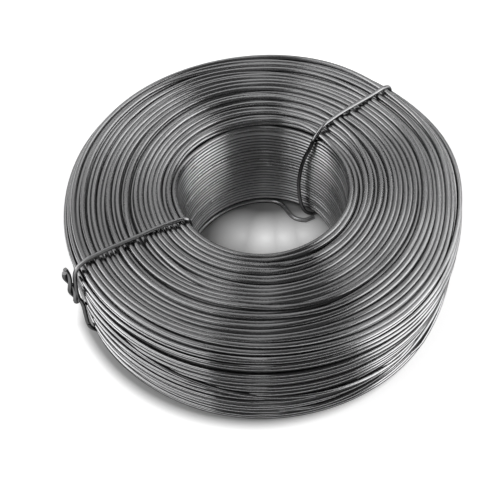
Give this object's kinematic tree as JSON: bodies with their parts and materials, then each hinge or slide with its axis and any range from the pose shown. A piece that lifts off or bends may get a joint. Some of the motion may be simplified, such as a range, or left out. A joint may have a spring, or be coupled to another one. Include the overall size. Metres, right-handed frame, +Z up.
{
  "type": "stainless steel wire coil",
  "caption": "Tied roll of drawn stainless steel wire lying flat, with an open bore for a spindle and cross ties with twisted ends that hold the turns together.",
  "frame": {"origin": "on the bore axis, at the level of the underside that lies on the floor", "axes": "+Z up along the bore axis; -Y towards the picture's viewer; +X to the viewer's right"},
  "size_m": [0.104, 0.104, 0.039],
  "materials": {
    "coil_wire": "drawn stainless wire, satin and dark, with bright glints along each turn",
    "tie_wire": "drawn stainless wire, satin, a little brighter than the coil"
  },
  "bodies": {
    "root": {"wire_coil": "coil_wire", "tie_wire_left": "tie_wire", "tie_wire_right": "tie_wire"}
  },
  "joints": []
}
